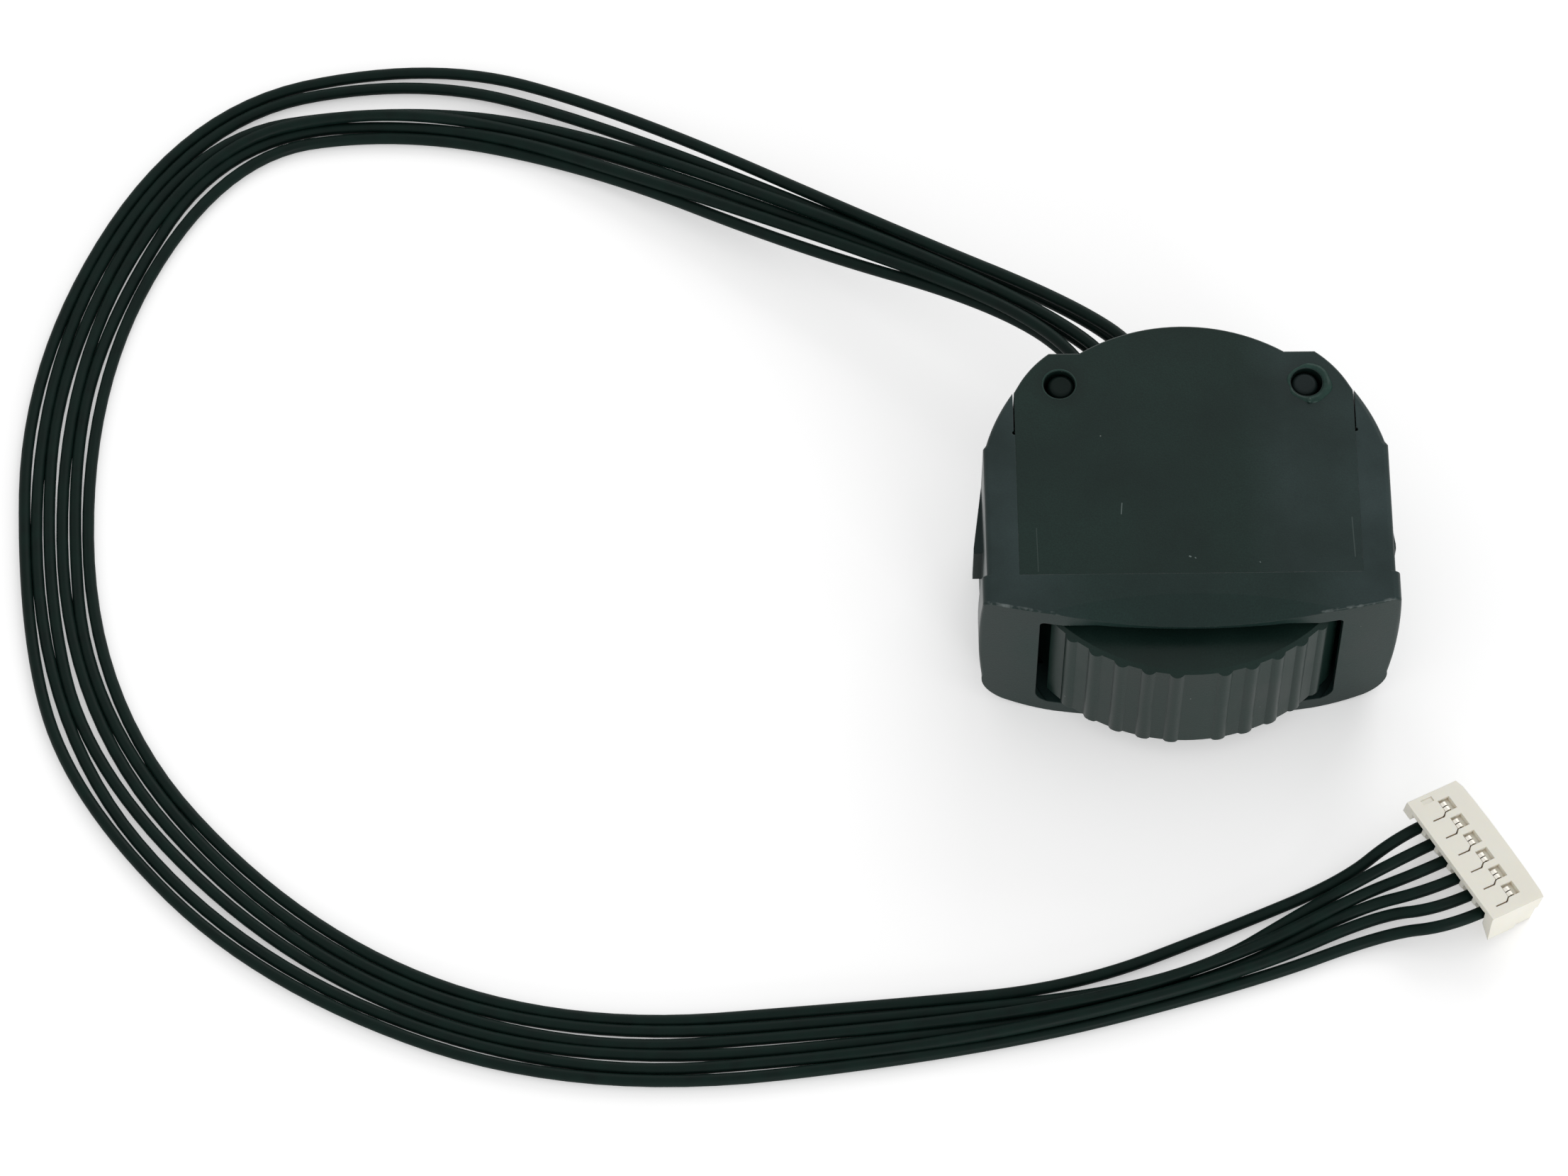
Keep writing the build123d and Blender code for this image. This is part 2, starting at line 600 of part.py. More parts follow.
# ---------------------------------------------------------------- connector
def connector_frame():
    turn = math.radians(CONN_TURN)
    tilt = math.radians(CONN_TILT)
    mating = Vector(-math.sin(turn), math.cos(turn), 0)
    lift = CONN_DEPTH * math.sin(tilt)
    return Plane(
        origin=(CONN_XY[0], CONN_XY[1], lift),
        x_dir=(math.cos(turn), math.sin(turn), 0),
        z_dir=mating * math.sin(tilt) + Vector(0, 0, math.cos(tilt)),
    )


def position_x(i):
    return (i - (POSITIONS - 1) / 2) * PITCH


def connector_plan():
    """The shell from above: bowed mating edge, clipped corners, and an ear on the wire side."""
    half = CONN_LENGTH / 2
    with BuildSketch() as sketch:
        with BuildLine():
            Polyline(
                (-half + 0.8, CONN_DEPTH - 0.05),
                (-half, CONN_DEPTH - 0.3),
                (-half, CONN_BACK),
                (-half + 1.0, CONN_BACK - 0.8),
                (-half + 1.3, CONN_BACK),
                (half, CONN_BACK),
                (half, CONN_DEPTH - 0.25),
                (half - 0.7, CONN_DEPTH - 0.05),
            )
            ThreePointArc((half - 0.7, CONN_DEPTH - 0.05), (1.5, CONN_DEPTH), (-half + 0.8, CONN_DEPTH - 0.05))
        make_face()
    return sketch.sketch


def latch_slit():
    """The slit that frees a contact's latch tongue, as a bent strip in plan."""
    path = Polyline((0.45, 2.05), (0.86, 1.72), (0.84, 0.55))
    return trace(path, LATCH_SLIT)


def connector_housing():
    """Shell with a cavity, a window and a latch tongue for each contact."""
    half = CONN_LENGTH / 2
    shell = prism(connector_plan(), 0, CONN_HEIGHT)
    shell = fillet(shell.edges().group_by(Axis.Z)[-1], 0.2)
    shell -= block((half - 0.45, half + 1), (0.9, CONN_DEPTH + 1), (-1, 2.5))
    shell -= block((-half + 0.4, -half + 0.9), (0.7, 1.9), (CONN_HEIGHT - 0.12, CONN_HEIGHT + 1))
    for i in range(POSITIONS - 1):
        x = position_x(i) + PITCH / 2
        shell += block((x - 0.22, x + 0.22), (CONN_BACK - 0.65, 0), (0.4, 2.5))
    for i in range(POSITIONS):
        x = position_x(i)
        shell -= block((x - 0.65, x + 0.65), (-2, CONN_DEPTH + 1), (CONTACT_Z - 0.65, CONTACT_Z + 0.65))
        shell -= block((x - 0.85, x + 0.55), WINDOW_V, (CONTACT_Z, CONN_HEIGHT + 1))
        shell -= Pos(x, 0, CONTACT_Z) * prism(latch_slit(), 0, CONN_HEIGHT)
    return connector_frame() * shell


def crimp_contacts():
    """Box receptacle and crimp barrel for each wire."""
    contacts = []
    for i in range(POSITIONS):
        x = position_x(i)
        box = block((x - 0.6, x + 0.6), (2.2, 4.9), (CONTACT_Z - 0.6, CONTACT_Z + 0.6))
        box -= block((x - 0.45, x + 0.45), (2.1, 5.0), (CONTACT_Z - 0.45, CONTACT_Z + 0.45))
        barrel = Plane(origin=(x, 0.4, CONTACT_Z), z_dir=(0, 1, 0)) * (Circle(0.62) - Circle(0.5))
        neck = block((x - 0.4, x + 0.4), (1.3, 2.6), (CONTACT_Z - 0.62, CONTACT_Z - 0.46))
        contacts.append(box + extrude(barrel, 1.2) + neck)
    return connector_frame() * Compound(children=contacts)


# ---------------------------------------------------------------- write the nodes
nodes = {
    "front_bezel": front_bezel(),
    "upper_case": upper_case(),
    "lower_case": lower_case(),
    "thumbwheel": thumbwheel(),
    "wheel_hub": wheel_hub(),
    "axle": post(0, 0, AXLE_R, AXLE_LOW_Z, HEIGHT - AXLE_LOW_Z),
    "upper_bush": bush(HUB_HIGH_Z - BUSH_LENGTH),
    "lower_bush": bush(HUB_LOW_Z),
    "upper_thrust_washer": thrust_washer(WASHER_HIGH_Z),
    "lower_thrust_washer": thrust_washer(WASHER_LOW_Z),
    "magnet_left": magnet(-1),
    "magnet_right": magnet(1),
    "centring_spring": centring_spring(),
    "circuit_board": circuit_board(),
    "potting_seal": potting_seal(),
    "connector_housing": connector_housing(),
    "crimp_contacts": crimp_contacts(),
}
for name, z in SENSOR_HEIGHTS.items():
    nodes[name] = hall_sensor(z)
for name in WIRES:
    nodes[name] = wire(name)

for name, shape in nodes.items():
    export_step(shape, f"parts/{name}.step")
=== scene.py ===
import json
import math

import bmesh
import bpy
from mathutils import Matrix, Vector, noise


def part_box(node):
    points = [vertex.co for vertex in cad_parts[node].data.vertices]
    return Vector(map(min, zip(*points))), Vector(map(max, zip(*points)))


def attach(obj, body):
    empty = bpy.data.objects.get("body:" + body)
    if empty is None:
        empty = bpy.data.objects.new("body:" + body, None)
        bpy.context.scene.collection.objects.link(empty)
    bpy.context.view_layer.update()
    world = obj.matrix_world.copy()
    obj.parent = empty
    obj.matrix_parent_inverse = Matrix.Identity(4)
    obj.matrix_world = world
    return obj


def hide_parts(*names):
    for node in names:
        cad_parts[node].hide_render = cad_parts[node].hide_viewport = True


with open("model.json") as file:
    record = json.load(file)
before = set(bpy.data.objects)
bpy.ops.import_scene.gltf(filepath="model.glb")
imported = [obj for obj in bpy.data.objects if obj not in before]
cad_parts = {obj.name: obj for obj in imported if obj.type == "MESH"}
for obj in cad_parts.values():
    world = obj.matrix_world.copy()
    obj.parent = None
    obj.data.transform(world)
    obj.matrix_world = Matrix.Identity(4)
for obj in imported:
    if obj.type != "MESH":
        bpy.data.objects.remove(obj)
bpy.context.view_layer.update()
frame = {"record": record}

# ------------------------------------------------------------------ case halves
# The two halves of the case are injection moulded in black PBT, in a tool with a spark-eroded
# skin.  Pins on the lower half stand in holes in the upper half, where heat has set them.

MM = 0.001


def colour(hex_code):
    """An sRGB hex value as the linear colour that a shader works in."""
    channels = [int(hex_code[i : i + 2], 16) / 255 for i in (1, 3, 5)]
    linear = [c / 12.92 if c <= 0.04045 else ((c + 0.055) / 1.055) ** 2.4 for c in channels]
    return (*linear, 1.0)


def add(material, kind, inputs=None, **settings):
    """Add a node and return its outputs; each input is a value or another node's output."""
    tree = material.node_tree
    made = tree.nodes.new("ShaderNode" + kind)
    for name, value in settings.items():
        setattr(made, name, value)
    for key, value in (inputs or {}).items():
        if isinstance(value, bpy.types.NodeSocket):
            tree.links.new(value, made.inputs[key])
        else:
            made.inputs[key].default_value = value
    return made.outputs


def new_material(name):
    material = bpy.data.materials.new(name)
    material.use_nodes = True
    material.node_tree.nodes.clear()
    return material


def finish_material(material, shader):
    add(material, "OutputMaterial", {"Surface": shader})
    return material


def dress(material, *names):
    """Give every slot of the named CAD nodes the material."""
    for name in names:
        mesh = bpy.data.objects[name].data
        if not mesh.materials:
            mesh.materials.append(material)
        for i in range(len(mesh.materials)):
            mesh.materials[i] = material


def speckled(made, place, base):
    """Dust specks about a tenth of a millimetre across, few and far between."""
    spacing = 1.1 * MM
    radius = 0.055  # as a share of the spacing
    cells = add(made, "TexVoronoi", {"Vector": place, "Scale": 1 / spacing})
    chosen = add(made, "SeparateColor", {"Color": cells["Color"]})["Red"]
    few = add(made, "Math", {0: chosen, 1: 0.96}, operation="GREATER_THAN")["Value"]
    small = add(made, "Math", {0: cells["Distance"], 1: radius}, operation="LESS_THAN")["Value"]
    speck = add(made, "Math", {0: few, 1: small}, operation="MULTIPLY")["Value"]
    dust = colour("#6c706e")
    return add(made, "MixRGB", {"Fac": speck, "Color1": base, "Color2": dust})["Color"]


SHEEN = 0.15  # a spark-eroded skin reflects much less than polished plastic
HOLE_SHADE_SHEEN = 0.05
PIN_CENTRE = (11.2 * MM, 11.3 * MM, 18.6 * MM)  # by the right pin, and mirrored to the left


def heat_halo_and_hole_shade(made, place, base, hole_shade):
    """Plastic that heat has darkened in a halo round the pins, with painted shade, darker and
    duller, in the holes and on the pins' tops: its colour and its sheen.
    """
    mirrored = add(made, "VectorMath", {0: place}, operation="ABSOLUTE")["Vector"]
    away = add(made, "VectorMath", {0: mirrored, 1: PIN_CENTRE}, operation="DISTANCE")["Value"]
    halo = add(
        made,
        "MapRange",
        {"Value": away, "From Min": 2.9 * MM, "From Max": 1.3 * MM, "To Max": 0.45},
    )["Result"]
    warmed = colour("#0a1311")
    base = add(made, "MixRGB", {"Fac": halo, "Color1": base, "Color2": warmed})["Color"]
    # Painted shade in each pin hole and on the pin's top: darker colour and less sheen.
    hole_shade_mask = add(
        made, "MapRange", {"Value": away, "From Min": 1.55 * MM, "From Max": 1.2 * MM}
    )["Result"]
    hole_shade_mask = add(made, "Math", {0: hole_shade_mask, 1: hole_shade}, operation="MULTIPLY")["Value"]
    hole_shade_colour = colour("#081210")
    base = add(made, "MixRGB", {"Fac": hole_shade_mask, "Color1": base, "Color2": hole_shade_colour})["Color"]
    sheen = add(made, "MapRange", {"Value": hole_shade_mask, "To Min": SHEEN, "To Max": HOLE_SHADE_SHEEN})
    return base, sheen["Result"]


def paled_on_top(made, place, flat, cloud, base, paling):
    """A paler, bluish tone on faces that look up, growing across the top towards one side or both.

    paling is its side ("right" or "both"), where across the top it starts and where it is full,
    and how strong it is.
    """
    side, start, full, strength = paling
    if side == "both":
        place = add(made, "VectorMath", {0: place}, operation="ABSOLUTE")["Vector"]
    across = add(made, "SeparateXYZ", {"Vector": place})["X"]
    veil = add(made, "MapRange", {"Value": across, "From Min": start, "From Max": full})["Result"]
    up = add(made, "SeparateXYZ", {"Vector": flat})["Z"]
    for share in (up, cloud):
        veil = add(made, "Math", {0: veil, 1: share}, operation="MULTIPLY")["Value"]
    veil = add(made, "MapRange", {"Value": veil, "To Max": strength})["Result"]
    # The paler tone that the veil mixes in.
    dust = colour("#5f6a70")
    return add(made, "MixRGB", {"Fac": veil, "Color1": base, "Color2": dust})["Color"]


def lip_highlight(made, place, rubbed, base, lip):
    """A painted highlight along the rounded front edge of a top, towards both ends.

    lip is the centre of the edge's arc along Y, the arc's radius, the edge's lowest height, and
    how far from the middle the painted highlight starts.
    """
    centre_y, radius, low_z, start = lip
    level = add(made, "VectorMath", {0: place, 1: (1.0, 1.0, 0.0)}, operation="MULTIPLY")["Vector"]
    centre = (0.0, centre_y, 0.0)
    out = add(made, "VectorMath", {0: level, 1: centre}, operation="DISTANCE")["Value"]
    outer = add(
        made,
        "MapRange",
        {"Value": out, "From Min": radius - 0.2 * MM, "From Max": radius - 0.08 * MM},
    )["Result"]
    height = add(made, "SeparateXYZ", {"Vector": place})["Z"]
    top = add(
        made, "MapRange", {"Value": height, "From Min": low_z, "From Max": low_z + 0.1 * MM}
    )["Result"]
    mirrored = add(made, "VectorMath", {0: place}, operation="ABSOLUTE")["Vector"]
    across = add(made, "SeparateXYZ", {"Vector": mirrored})["X"]
    ends = add(
        made, "MapRange", {"Value": across, "From Min": start, "From Max": start + 1.5 * MM}
    )["Result"]
    # The painted highlight is broken into the same patches as the rubbed edges.
    pale = outer
    for share in (top, ends, rubbed):
        pale = add(made, "Math", {0: pale, 1: share}, operation="MULTIPLY")["Value"]
    lip_highlight_colour = colour("#6d7574")
    return add(made, "MixRGB", {"Fac": pale, "Color1": base, "Color2": lip_highlight_colour})["Color"]


def scratched(made, place, base, marks):
    """Scratches and grit on the top, each a soft-edged line.

    A mark is its two ends, x and y, then its width and its strength, in millimetres.
    """
    level = add(made, "VectorMath", {0: place, 1: (1.0, 1.0, 0.0)}, operation="MULTIPLY")["Vector"]
    pale = colour("#7d8a87")
    for x0, y0, x1, y1, width, strength in marks:
        start = Vector((x0, y0, 0.0)) * MM
        run = Vector((x1, y1, 0.0)) * MM - start
        per_run = tuple(run / run.length_squared)
        away = add(made, "VectorMath", {0: level, 1: tuple(start)}, operation="SUBTRACT")["Vector"]
        along = add(made, "VectorMath", {0: away, 1: per_run}, operation="DOT_PRODUCT")["Value"]
        along = add(made, "MapRange", {"Value": along})["Result"]
        nearest = add(made, "VectorMath", {0: tuple(run), "Scale": along}, operation="SCALE")
        off = add(made, "VectorMath", {0: away, 1: nearest["Vector"]}, operation="DISTANCE")
        edge = width * MM
        mark = add(
            made,
            "MapRange",
            {"Value": off["Value"], "From Min": edge, "From Max": edge * 0.4, "To Max": strength},
        )["Result"]
        base = add(made, "MixRGB", {"Fac": mark, "Color1": base, "Color2": pale})["Color"]
    return base


def moulded_plastic(
    name, dark, light, roughness, grain, edge_radius, hole_shade=0.0, paling=None, lip=None, marks=()
):
    """Dull moulding: a sandy grain from the tool, cloudy flow, dust, and paler rubbed edges.

    The grain is drawn coarser than a real spark-eroded skin, so that it shows.
    """
    flow = 7 * MM
    rub_patch = 0.9 * MM
    made = new_material(name)
    place = add(made, "TexCoord")["Object"]
    cloud = add(made, "TexNoise", {"Vector": place, "Scale": 1 / flow, "Detail": 3.0})["Fac"]
    sand = add(made, "TexNoise", {"Vector": place, "Scale": 1 / grain, "Detail": 2.0})["Fac"]
    mixed = add(made, "Math", {0: cloud, 1: sand}, operation="MULTIPLY")["Value"]
    tone = add(made, "MapRange", {"Value": mixed, "From Min": 0.02, "From Max": 0.5})["Result"]
    skin = {"Fac": tone, "Color1": colour(dark), "Color2": colour(light)}
    base = add(made, "MixRGB", skin)["Color"]

    # An edge is where the rounded surface turns away from the flat one.  It is rubbed in patches.
    rounded = add(made, "Bevel", {"Radius": edge_radius}, samples=6)["Normal"]
    flat = add(made, "NewGeometry")["Normal"]
    facing = add(made, "VectorMath", {0: rounded, 1: flat}, operation="DOT_PRODUCT")["Value"]
    edge = add(made, "MapRange", {"Value": facing, "From Min": 0.99, "From Max": 0.88})["Result"]
    patches = add(made, "TexNoise", {"Vector": place, "Scale": 1 / rub_patch, "Detail": 4.0})
    rubbed = add(
        made, "MapRange", {"Value": patches["Fac"], "From Min": 0.48, "From Max": 0.75}
    )["Result"]
    worn = add(made, "Math", {0: edge, 1: rubbed}, operation="MULTIPLY")["Value"]
    pale = colour("#3c403f")
    base = add(made, "MixRGB", {"Fac": worn, "Color1": base, "Color2": pale})["Color"]

    base = speckled(made, place, base)
    sheen = SHEEN
    if hole_shade:
        base, sheen = heat_halo_and_hole_shade(made, place, base, hole_shade)
    if paling:
        base = paled_on_top(made, place, flat, cloud, base, paling)
    if lip:
        base = lip_highlight(made, place, rubbed, base, lip)
    if marks:
        base = scratched(made, place, base, marks)

    uneven = 0.06
    gloss = add(
        made,
        "MapRange",
        {
            "Value": cloud,
            "From Min": 0.3,
            "From Max": 0.7,
            "To Min": roughness - uneven,
            "To Max": roughness + uneven,
        },
    )["Result"]
    relief = add(
        made, "Bump", {"Height": sand, "Strength": 0.35, "Distance": 0.02 * MM, "Normal": rounded}
    )["Normal"]
    shader = add(
        made,
        "BsdfPrincipled",
        {
            "Base Color": base,
            "Roughness": gloss,
            "Normal": relief,
            "IOR": 1.5,
            "Specular IOR Level": sheen,
        },
    )["BSDF"]
    return finish_material(made, shader)


# Spark-eroded PBT is nearly black and matt, with a cool green cast where light grazes it.
case_pbt = moulded_plastic(
    "case_pbt_spark_eroded",
    "#0f1e1b",
    "#192d28",
    roughness=0.42,
    grain=0.16 * MM,
    edge_radius=0.07 * MM,
    # strength of the painted shade in the pin holes
    hole_shade=0.65,
    paling=("right", 5.0 * MM, 9.0 * MM, 0.15),
    marks=(
        (-6.0, -1.1, -6.1, -2.2, 0.06, 0.5),
        (-0.1, -6.6, 0.0, -6.65, 0.09, 0.7),
        (0.4, -6.75, 0.45, -6.8, 0.07, 0.6),
        (6.2, -7.25, 6.25, -7.3, 0.06, 0.6),
        (14.7, -2.8, 14.8, -6.8, 0.07, 0.16),
        (-13.8, -3.6, -13.75, -8.0, 0.06, 0.12),
    ),
)
dress(case_pbt, "upper_case", "lower_case")

# ------------------------------------------------------------------ melted plastic on the case
# The iron that set the pins left a raised, uneven ring of melted plastic round each hole, much
# larger on the right, with a loose crumb in front of it.  It has lost the tool's grain.

PLATE_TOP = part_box("upper_case")[1][2]
STAKE_X = 11.28 * MM
STAKE_Y = 11.27 * MM
HOLE_R = 1.5 * MM
SINK = 0.03 * MM  # how far the ring's foot goes into the plate

melted_pbt = moulded_plastic(
    "case_pbt_melted_flash",
    "#182c27",
    "#2a453e",
    roughness=0.4,
    grain=0.4 * MM,
    edge_radius=0.03 * MM,
)


def mesh_piece(name, shape, material):
    """A smooth-shaded object from a finished mesh shape."""
    mesh = bpy.data.meshes.new(name)
    shape.to_mesh(mesh)
    shape.free()
    mesh.materials.append(material)
    for face in mesh.polygons:
        face.use_smooth = True
    piece = bpy.data.objects.new(name, mesh)
    bpy.context.collection.objects.link(piece)
    return piece


def skin_rings(shape, rings):
    """Join closed cross-sections one to the next, and the last to the first."""
    for i, here in enumerate(rings):
        there = rings[(i + 1) % len(rings)]
        for j in range(len(here)):
            k = (j + 1) % len(here)
            shape.faces.new((here[j], here[k], there[k], there[j]))


def melted_ring(name, side, width, height, lean, seed):
    """Closed ring on the plate; it is widest and highest in the direction lean, in degrees."""
    around = 72
    across = 7
    shape = bmesh.new()
    rings = []
    for i in range(around):
        angle = 2 * math.pi * i / around
        out = Vector((math.cos(angle), math.sin(angle), 0.0))
        swell = 0.5 + 0.5 * math.cos(angle - math.radians(lean))
        lumps = noise.noise(out * 1.6 + Vector((seed, 0.0, 0.0)))
        fine = noise.noise(out * 5.0 + Vector((0.0, seed, 0.0)))
        ring_width = width * (0.3 + 0.7 * swell + 0.25 * lumps)
        ring_height = max(0.0, height * (0.25 + 0.75 * swell + 0.35 * lumps + 0.15 * fine))
        section = []
        for j in range(across):
            t = j / (across - 1)
            section.append((t, ring_height * math.sin(math.pi * t) ** 0.8))
        section += [(1.0, -SINK), (0.0, -SINK)]
        ring = []
        for t, rise in section:
            place = out * (HOLE_R + ring_width * t)
            corner = (side * STAKE_X + place.x, STAKE_Y + place.y, PLATE_TOP + rise)
            ring.append(shape.verts.new(corner))
        rings.append(ring)
    skin_rings(shape, rings)
    bmesh.ops.recalc_face_normals(shape, faces=shape.faces)
    return mesh_piece(name, shape, melted_pbt)


for ring in (
    melted_ring("stake_flash_left", -1, 0.16 * MM, 0.05 * MM, lean=100, seed=3.1),
    melted_ring("stake_flash_right", 1, 0.78 * MM, 0.2 * MM, lean=-15, seed=7.7),
):
    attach(ring, "housing")

CRUMB_RADIUS = 0.26 * MM
CRUMB_PLACE = Vector((STAKE_X + 0.2 * MM, STAKE_Y - 1.95 * MM, PLATE_TOP + 0.09 * MM))
crumb_shape = bmesh.new()
bmesh.ops.create_icosphere(crumb_shape, subdivisions=3, radius=CRUMB_RADIUS)
for vert in crumb_shape.verts:
    vert.co *= 1.0 + 0.35 * noise.noise(vert.co / (0.22 * MM))
    vert.co.z *= 0.6
    vert.co += CRUMB_PLACE
crumb = mesh_piece("stake_flash_crumb", crumb_shape, melted_pbt)
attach(crumb, "housing")

# ------------------------------------------------------------------ front bezel
# The bezel with its finger slot, scoop and snap arms is one moulding in the same black PBT, and
# it closes the front of the case.  A painted highlight runs along the front edge of its top.

bezel_pbt = moulded_plastic(
    "bezel_pbt_spark_eroded",
    "#142220",
    "#1e322e",
    roughness=0.34,
    grain=0.16 * MM,
    edge_radius=0.12 * MM,
    paling=("both", 9.0 * MM, 16.0 * MM, 0.24),
    # the painted highlight along the rounded front edge of the top
    lip=(67.2 * MM, 80.4 * MM, 18.7 * MM, 10.0 * MM),
)
dress(bezel_pbt, "front_bezel")

# ------------------------------------------------------------------ thumbwheel
# The ribbed wheel is a separate black moulding that turns with the hub inside the case.  Its rim
# is a little smoother than the case where the thumb rubs it.

wheel_pbt = moulded_plastic(
    "wheel_pbt_thumb_rubbed",
    "#10201c",
    "#1b2f2a",
    roughness=0.33,
    grain=0.14 * MM,
    edge_radius=0.05 * MM,
)
dress(wheel_pbt, "thumbwheel")

# ------------------------------------------------------------------ hub, axle and bearings
# The hub is moulded acetal.  It turns on a ground steel pin in two sintered bronze bushes,
# between slippery white washers, and carries two nickel-plated magnets.


def plain_metal(name, bright, dull, roughness, grain):
    """Bare or plated metal with a fine uneven lustre."""
    made = new_material(name)
    place = add(made, "TexCoord")["Object"]
    lay = add(made, "TexNoise", {"Vector": place, "Scale": 1 / grain, "Detail": 3.0})["Fac"]
    tones = {"Fac": lay, "Color1": colour(dull), "Color2": colour(bright)}
    base = add(made, "MixRGB", tones)["Color"]
    gloss = add(
        made,
        "MapRange",
        {
            "Value": lay,
            "From Min": 0.3,
            "From Max": 0.7,
            "To Min": roughness * 0.8,
            "To Max": roughness * 1.2,
        },
    )["Result"]
    relief = add(made, "Bump", {"Height": lay, "Strength": 0.2, "Distance": 0.004 * MM})["Normal"]
    shader = add(
        made,
        "BsdfPrincipled",
        {"Base Color": base, "Metallic": 1.0, "Roughness": gloss, "Normal": relief},
    )["BSDF"]
    return finish_material(made, shader)


# Black acetal is smooth and faintly waxy; the washers are the same plastic without its pigment.
hub_acetal = moulded_plastic(
    "hub_acetal_black",
    "#121212",
    "#1f1f1f",
    roughness=0.4,
    grain=0.3 * MM,
    edge_radius=0.1 * MM,
)
dress(hub_acetal, "wheel_hub")
washer_acetal = moulded_plastic(
    "washer_acetal_natural",
    "#d8d6cf",
    "#e6e4de",
    roughness=0.35,
    grain=0.2 * MM,
    edge_radius=0.05 * MM,
)
dress(washer_acetal, "upper_thrust_washer", "lower_thrust_washer")

# Ground steel and nickel plate are bright, drawn wire is greyer, and sintered bronze is dull.
axle_steel = plain_metal(
    "axle_steel_ground", "#c9c9c6", "#a9a9a6", roughness=0.22, grain=0.15 * MM
)
dress(axle_steel, "axle")
bush_bronze = plain_metal(
    "bush_bronze_sintered", "#b08a4e", "#7d5f33", roughness=0.42, grain=0.08 * MM
)
dress(bush_bronze, "upper_bush", "lower_bush")
magnet_nickel = plain_metal(
    "magnet_nickel_plated", "#cfcbc2", "#b5b1a8", roughness=0.18, grain=0.3 * MM
)
dress(magnet_nickel, "magnet_left", "magnet_right")
spring_wire = plain_metal(
    "spring_music_wire", "#8f9092", "#6a6b6d", roughness=0.3, grain=0.1 * MM
)
dress(spring_wire, "centring_spring")

# ------------------------------------------------------------------ circuit board and sensors
# A glass-epoxy board under green solder resist stands behind the magnets.  Two sensors moulded
# in dull black epoxy are soldered to its front face, one above the other.

board_resist = moulded_plastic(
    "board_fr4_solder_resist",
    "#123a24",
    "#1a4f31",
    roughness=0.3,
    grain=0.4 * MM,
    edge_radius=0.05 * MM,
)
dress(board_resist, "circuit_board")
sensor_epoxy = moulded_plastic(
    "sensor_epoxy_moulded",
    "#161616",
    "#242424",
    roughness=0.4,
    grain=0.1 * MM,
    edge_radius=0.05 * MM,
)
dress(sensor_epoxy, "hall_sensor_upper", "hall_sensor_lower")

# ------------------------------------------------------------------ potting
# Black epoxy poured into the window in the rear wall seals it and holds the wires.  It sets
# smoother and glossier than the moulded case round it.

potting_epoxy = moulded_plastic(
    "potting_epoxy_poured",
    "#0c0d0d",
    "#171818",
    roughness=0.24,
    grain=1.2 * MM,
    edge_radius=0.15 * MM,
)
dress(potting_epoxy, "potting_seal")

# ------------------------------------------------------------------ connector
# A six-way crimp connector, moulded in natural nylon.  A thin plate overhangs the wires on the
# wire side, and a window and a latch slit over each position show the tin-plated contact.

plug = next(mount for mount in frame["record"]["mounts"] if mount["name"] == "lead_connector")
PLUG_OUT = Vector(plug["axis"]).normalized()
PLUG_ROW = Vector((PLUG_OUT.y, -PLUG_OUT.x, 0.0)).normalized()
PLUG_UP = PLUG_ROW.cross(PLUG_OUT)
MOUNT_OUT = 5.01 * MM  # the mount's place in the shell: out from the wire side, and up
MOUNT_UP = 1.89 * MM
PLUG_ORIGIN = Vector(plug["pos_m"]) - PLUG_OUT * MOUNT_OUT - PLUG_UP * MOUNT_UP

# Sizes in millimetres: along the row, out from the wire side, and up from the underside.
PITCH = 2.0
POSITIONS = [PITCH * (i - 2.5) for i in range(6)]
SHELL_HALF = 6.88
SHELL_TOP = 4.0
WALL_FACE = 5.75  # inner face of the end walls
PLATE_UNDERSIDE = 3.5
PLATE_EDGE = -0.6
BEHIND, BELOW, ABOVE, BEYOND = -2.0, -1.0, 5.0, 8.0  # ends of cuts, clear of the shell

# The mating edge is bowed and its corners are clipped.
SHELL_PLAN = [
    (-SHELL_HALF, PLATE_EDGE),
    (SHELL_HALF, PLATE_EDGE),
    (SHELL_HALF, 5.2),
    (6.2, 5.33),
    (4.0, 5.42),
    (1.0, 5.46),
    (-2.0, 5.45),
    (-4.6, 5.38),
    (-6.1, 5.3),
    (-SHELL_HALF, 5.05),
]
LATCH_SLIT = [(0.4, 2.2), (0.78, 1.7), (0.77, 0.5), (0.9, 0.5), (0.92, 1.76), (0.5, 2.25)]


def plug_block(outline, low, high, along="up"):
    """Closed prism in the connector's own millimetres: an outline, swept along one axis."""
    shape = bmesh.new()
    rings = []
    for level in (low, high):
        ring = []
        for a, b in outline:
            corner = {"up": (a, b, level), "out": (a, level, b), "row": (level, a, b)}[along]
            ring.append(shape.verts.new(corner))
        rings.append(ring)
    shape.faces.new(reversed(rings[0]))
    shape.faces.new(rings[1])
    for i in range(len(outline)):
        j = (i + 1) % len(outline)
        shape.faces.new((rings[0][i], rings[0][j], rings[1][j], rings[1][i]))
    bmesh.ops.recalc_face_normals(shape, faces=shape.faces)
    return shape


def rectangle(u0, u1, v0, v1):
    return [(u0, v0), (u1, v0), (u1, v1), (u0, v1)]


def at_positions(outline, low, high):
    """The same prism at each of the six positions."""
    return [plug_block([(x + u, v) for u, v in outline], low, high) for x in POSITIONS]


def scratch_object(shapes):
    """Join mesh shapes into one loose object."""
    joined = bpy.data.meshes.new("scratch")
    merged = bmesh.new()
    for shape in shapes:
        shape.to_mesh(joined)
        shape.free()
        merged.from_mesh(joined)
    merged.to_mesh(joined)
    merged.free()
    made = bpy.data.objects.new("scratch", joined)
    bpy.context.collection.objects.link(made)
    return made


